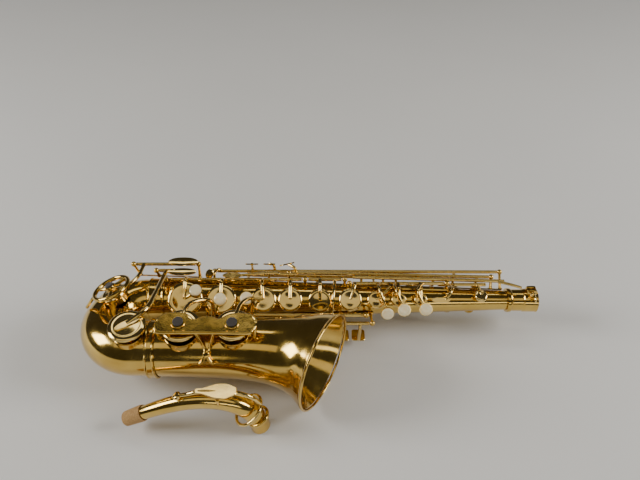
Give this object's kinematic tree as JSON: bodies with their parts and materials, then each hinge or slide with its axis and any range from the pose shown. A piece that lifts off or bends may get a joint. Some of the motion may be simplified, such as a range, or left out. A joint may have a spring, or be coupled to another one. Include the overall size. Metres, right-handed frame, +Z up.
{
  "type": "saxophone",
  "caption": "Curved-bell woodwind in lacquered brass with sprung keys, pearl touches and a lift-off neck, lying on its side.",
  "frame": {"origin": "middle of the underside of the whole object's box, as it lies on its left side on a floor", "axes": "+X runs along the body tube from the bow to the neck socket; +Y points from the bell to the body tube; +Z is up, the player's right-hand side"},
  "size_m": [0.5994, 0.2312, 0.1249],
  "materials": {
    "lacquer": "clear gold lacquer, polished",
    "key_lacquer": "clear gold lacquer, polished, slightly paler than the body",
    "pearl": "pearl white, glossy",
    "pad": "brown leather, matte",
    "felt": "dark felt",
    "cork": "natural cork"
  },
  "bodies": {
    "body": {"bell": "lacquer", "bell_bow_ring": "lacquer", "bell_brace": "lacquer", "bell_key_guard": "lacquer", "bell_key_rail": "lacquer", "bell_rim": "lacquer", "body_bow_ferrule": "lacquer", "body_tube": "lacquer", "bow": "lacquer", "guard_felt_low_b": "felt", "guard_felt_low_bb": "felt", "low_c_sharp_guard": "lacquer", "low_eb_guard": "lacquer", "low_eb_guard_felt": "felt", "lower_stack_rail": "lacquer", "neck_receiver": "lacquer", "pinky_key_rail": "lacquer", "side_key_rail": "lacquer", "strap_ring": "lacquer", "thumb_hook": "lacquer", "thumb_rest": "lacquer", "upper_stack_rail": "lacquer"},
    "neck": {"neck_tube": "lacquer", "neck_cork": "cork"},
    "d_key_body": {"d_key": "key_lacquer", "d_pearl": "pearl"},
    "e_key_body": {"e_key": "key_lacquer", "e_pearl": "pearl"},
    "f_key_body": {"f_key": "key_lacquer", "f_pearl": "pearl"},
    "f_sharp_key_body": {"f_sharp_key": "key_lacquer"},
    "g_key_body": {"g_key": "key_lacquer", "g_pearl": "pearl"},
    "a_key_body": {"a_key": "key_lacquer", "a_pearl": "pearl"},
    "bis_key_body": {"bis_key": "key_lacquer"},
    "b_key_body": {"b_key": "key_lacquer", "b_pearl": "pearl"},
    "c_key_body": {"c_key": "key_lacquer"},
    "g_sharp_key_body": {"g_sharp_key": "key_lacquer"},
    "low_b_key_body": {"low_b_key": "key_lacquer", "low_b_pad": "pad"},
    "low_bb_key_body": {"low_bb_key": "key_lacquer", "low_bb_pad": "pad"},
    "low_c_key_body": {"low_c_key": "key_lacquer"},
    "low_eb_key_body": {"low_eb_key": "key_lacquer"},
    "low_c_sharp_key_body": {"low_c_sharp_key": "key_lacquer"},
    "high_f_sharp_key_body": {"high_f_sharp_key": "key_lacquer"},
    "high_e_key_body": {"high_e_key": "key_lacquer"},
    "side_c_key_body": {"side_c_key": "key_lacquer"},
    "side_bb_key_body": {"side_bb_key": "key_lacquer"},
    "trill_f_sharp_key_body": {"trill_f_sharp_key": "key_lacquer"},
    "palm_d_key_body": {"palm_d_key": "key_lacquer"},
    "palm_eb_key_body": {"palm_eb_key": "key_lacquer"},
    "palm_f_key_body": {"palm_f_key": "key_lacquer"},
    "octave_thumb_body": {"octave_thumb_key": "key_lacquer"},
    "octave_rod_body": {"octave_rod_key": "key_lacquer"},
    "neck_screw_body": {"neck_screw": "key_lacquer"},
    "neck_octave_body": {"neck_octave_key": "key_lacquer"}
  },
  "joints": [
    {"name": "neck_lift", "type": "slide", "parent": "body", "child": "neck", "axis": [0, 0, 1], "range_m": [0, 0.2]},
    {"name": "d_key_press", "type": "hinge", "parent": "body", "child": "d_key_body", "pos_m": [-0.17, 0.0741, 0.0832], "axis": [1, 0, 0], "range_deg": [0, 9], "stiffness_Nm_per_rad": 0.05, "springref_deg": -22.92},
    {"name": "e_key_press", "type": "hinge", "parent": "body", "child": "e_key_body", "pos_m": [-0.1195, 0.0741, 0.0832], "axis": [1, 0, 0], "range_deg": [0, 9], "stiffness_Nm_per_rad": 0.05, "springref_deg": -22.92},
    {"name": "f_key_press", "type": "hinge", "parent": "body", "child": "f_key_body", "pos_m": [-0.0714, 0.0741, 0.0832], "axis": [1, 0, 0], "range_deg": [0, 9], "stiffness_Nm_per_rad": 0.05, "springref_deg": -22.92},
    {"name": "f_sharp_key_press", "type": "hinge", "parent": "body", "child": "f_sharp_key_body", "pos_m": [-0.0333, 0.0741, 0.0832], "axis": [1, 0, 0], "range_deg": [0, 9], "stiffness_Nm_per_rad": 0.05, "springref_deg": -22.92},
    {"name": "g_key_press", "type": "hinge", "parent": "body", "child": "g_key_body", "pos_m": [0.0684, 0.0721, 0.0778], "axis": [1, 0, 0], "range_deg": [0, 9], "stiffness_Nm_per_rad": 0.05, "springref_deg": -22.92},
    {"name": "a_key_press", "type": "hinge", "parent": "body", "child": "a_key_body", "pos_m": [0.0967, 0.0721, 0.0778], "axis": [1, 0, 0], "range_deg": [0, 9], "stiffness_Nm_per_rad": 0.05, "springref_deg": -22.92},
    {"name": "bis_key_press", "type": "hinge", "parent": "body", "child": "bis_key_body", "pos_m": [0.1158, 0.0721, 0.0778], "axis": [1, 0, 0], "range_deg": [0, 9], "stiffness_Nm_per_rad": 0.05, "springref_deg": -22.92},
    {"name": "b_key_press", "type": "hinge", "parent": "body", "child": "b_key_body", "pos_m": [0.1488, 0.0721, 0.0778], "axis": [1, 0, 0], "range_deg": [0, 9], "stiffness_Nm_per_rad": 0.05, "springref_deg": -22.92},
    {"name": "c_key_press", "type": "hinge", "parent": "body", "child": "c_key_body", "pos_m": [0.1812, 0.0721, 0.0752], "axis": [1, 0, 0], "range_deg": [0, 9], "stiffness_Nm_per_rad": 0.05, "springref_deg": -22.92},
    {"name": "g_sharp_key_press", "type": "hinge", "parent": "body", "child": "g_sharp_key_body", "pos_m": [0.0132, 0.0741, 0.0832], "axis": [1, 0, 0], "range_deg": [-5, 0], "stiffness_Nm_per_rad": 0.05, "springref_deg": 22.92},
    {"name": "low_b_key_press", "type": "hinge", "parent": "body", "child": "low_b_key_body", "pos_m": [-0.0893, 0.0251, 0.0672], "axis": [1, 0, 0], "range_deg": [0, 4.5], "stiffness_Nm_per_rad": 0.05, "springref_deg": -22.92},
    {"name": "low_bb_key_press", "type": "hinge", "parent": "body", "child": "low_bb_key_body", "pos_m": [-0.1403, 0.0201, 0.0572], "axis": [1, 0, 0], "range_deg": [0, 4.5], "stiffness_Nm_per_rad": 0.05, "springref_deg": -22.92},
    {"name": "low_c_key_press", "type": "hinge", "parent": "body", "child": "low_c_key_body", "pos_m": [-0.2081, 0.0831, 0.0912], "axis": [1, 0, 0], "range_deg": [0, 4], "stiffness_Nm_per_rad": 0.05, "springref_deg": -22.92},
    {"name": "low_eb_key_press", "type": "hinge", "parent": "body", "child": "low_eb_key_body", "pos_m": [-0.2393, 0.0911, 0.0952], "axis": [1, 0, 0], "range_deg": [-5, 0], "stiffness_Nm_per_rad": 0.05, "springref_deg": 22.92},
    {"name": "low_c_sharp_key_press", "type": "hinge", "parent": "body", "child": "low_c_sharp_key_body", "pos_m": [-0.1113, 0.0241, 0.0412], "axis": [1, 0, 0], "range_deg": [0, 4], "stiffness_Nm_per_rad": 0.05, "springref_deg": -22.92},
    {"name": "high_f_sharp_key_press", "type": "hinge", "parent": "body", "child": "high_f_sharp_key_body", "pos_m": [-0.1333, 0.0966, 0.0767], "axis": [0.9998, -0.0118, -0.0157], "range_deg": [0, 7], "stiffness_Nm_per_rad": 0.05, "springref_deg": -22.92},
    {"name": "high_e_key_press", "type": "hinge", "parent": "body", "child": "high_e_key_body", "pos_m": [-0.0313, 0.0886, 0.0812], "axis": [0.9998, -0.0113, -0.0188], "range_deg": [0, 7], "stiffness_Nm_per_rad": 0.05, "springref_deg": -22.92},
    {"name": "side_c_key_press", "type": "hinge", "parent": "body", "child": "side_c_key_body", "pos_m": [-0.0593, 0.1026, 0.0692], "axis": [0.9999, -0.0121, -0.0121], "range_deg": [0, 7], "stiffness_Nm_per_rad": 0.05, "springref_deg": -22.92},
    {"name": "side_bb_key_press", "type": "hinge", "parent": "body", "child": "side_bb_key_body", "pos_m": [-0.0893, 0.1056, 0.0592], "axis": [0.9999, -0.0151, -0.006], "range_deg": [0, 7], "stiffness_Nm_per_rad": 0.05, "springref_deg": -22.92},
    {"name": "trill_f_sharp_key_press", "type": "hinge", "parent": "body", "child": "trill_f_sharp_key_body", "pos_m": [-0.0533, 0.0806, 0.0867], "axis": [0.9998, 0, -0.0179], "range_deg": [0, 6], "stiffness_Nm_per_rad": 0.05, "springref_deg": -22.92},
    {"name": "palm_d_key_press", "type": "hinge", "parent": "body", "child": "palm_d_key_body", "pos_m": [0.1427, 0.08626, 0.03295], "axis": [0, 0.6691, 0.7431], "range_deg": [0, 7], "stiffness_Nm_per_rad": 0.05, "springref_deg": -22.92},
    {"name": "palm_eb_key_press", "type": "hinge", "parent": "body", "child": "palm_eb_key_body", "pos_m": [0.1687, 0.08869, 0.03773], "axis": [0, 0.5, 0.866], "range_deg": [0, 6], "stiffness_Nm_per_rad": 0.05, "springref_deg": -22.92},
    {"name": "palm_f_key_press", "type": "hinge", "parent": "body", "child": "palm_f_key_body", "pos_m": [0.1987, 0.08545, 0.0348], "axis": [0, 0.6428, 0.766], "range_deg": [0, 6], "stiffness_Nm_per_rad": 0.05, "springref_deg": -22.92},
    {"name": "octave_thumb_press", "type": "hinge", "parent": "body", "child": "octave_thumb_body", "pos_m": [0.1437, 0.09085, 0.0502], "axis": [0, 0, 1], "range_deg": [0, 5], "stiffness_Nm_per_rad": 0.05, "springref_deg": -22.92},
    {"name": "octave_rod_swing", "type": "hinge", "parent": "body", "child": "octave_rod_body", "pos_m": [0.0507, 0.0798, 0.0817], "axis": [0.9995, -0.0088, -0.0294], "range_deg": [0, 4], "stiffness_Nm_per_rad": 0.05, "springref_deg": -22.92},
    {"name": "neck_screw_turn", "type": "hinge", "parent": "body", "child": "neck_screw_body", "pos_m": [0.2902, 0.0671, 0.0697], "axis": [0, 1, 0], "continuous": true},
    {"name": "neck_octave_press", "type": "hinge", "parent": "neck", "child": "neck_octave_body", "pos_m": [-0.1093, -0.0949, 0.0732], "axis": [0, 1, 0], "range_deg": [0, 3], "stiffness_Nm_per_rad": 0.05, "springref_deg": -22.92}
  ],
  "couplings": [
    {"joint": "f_sharp_key_press", "follows": "f_key_press", "ratio": 1},
    {"joint": "octave_rod_swing", "follows": "octave_thumb_press", "ratio": 0.8}
  ]
}
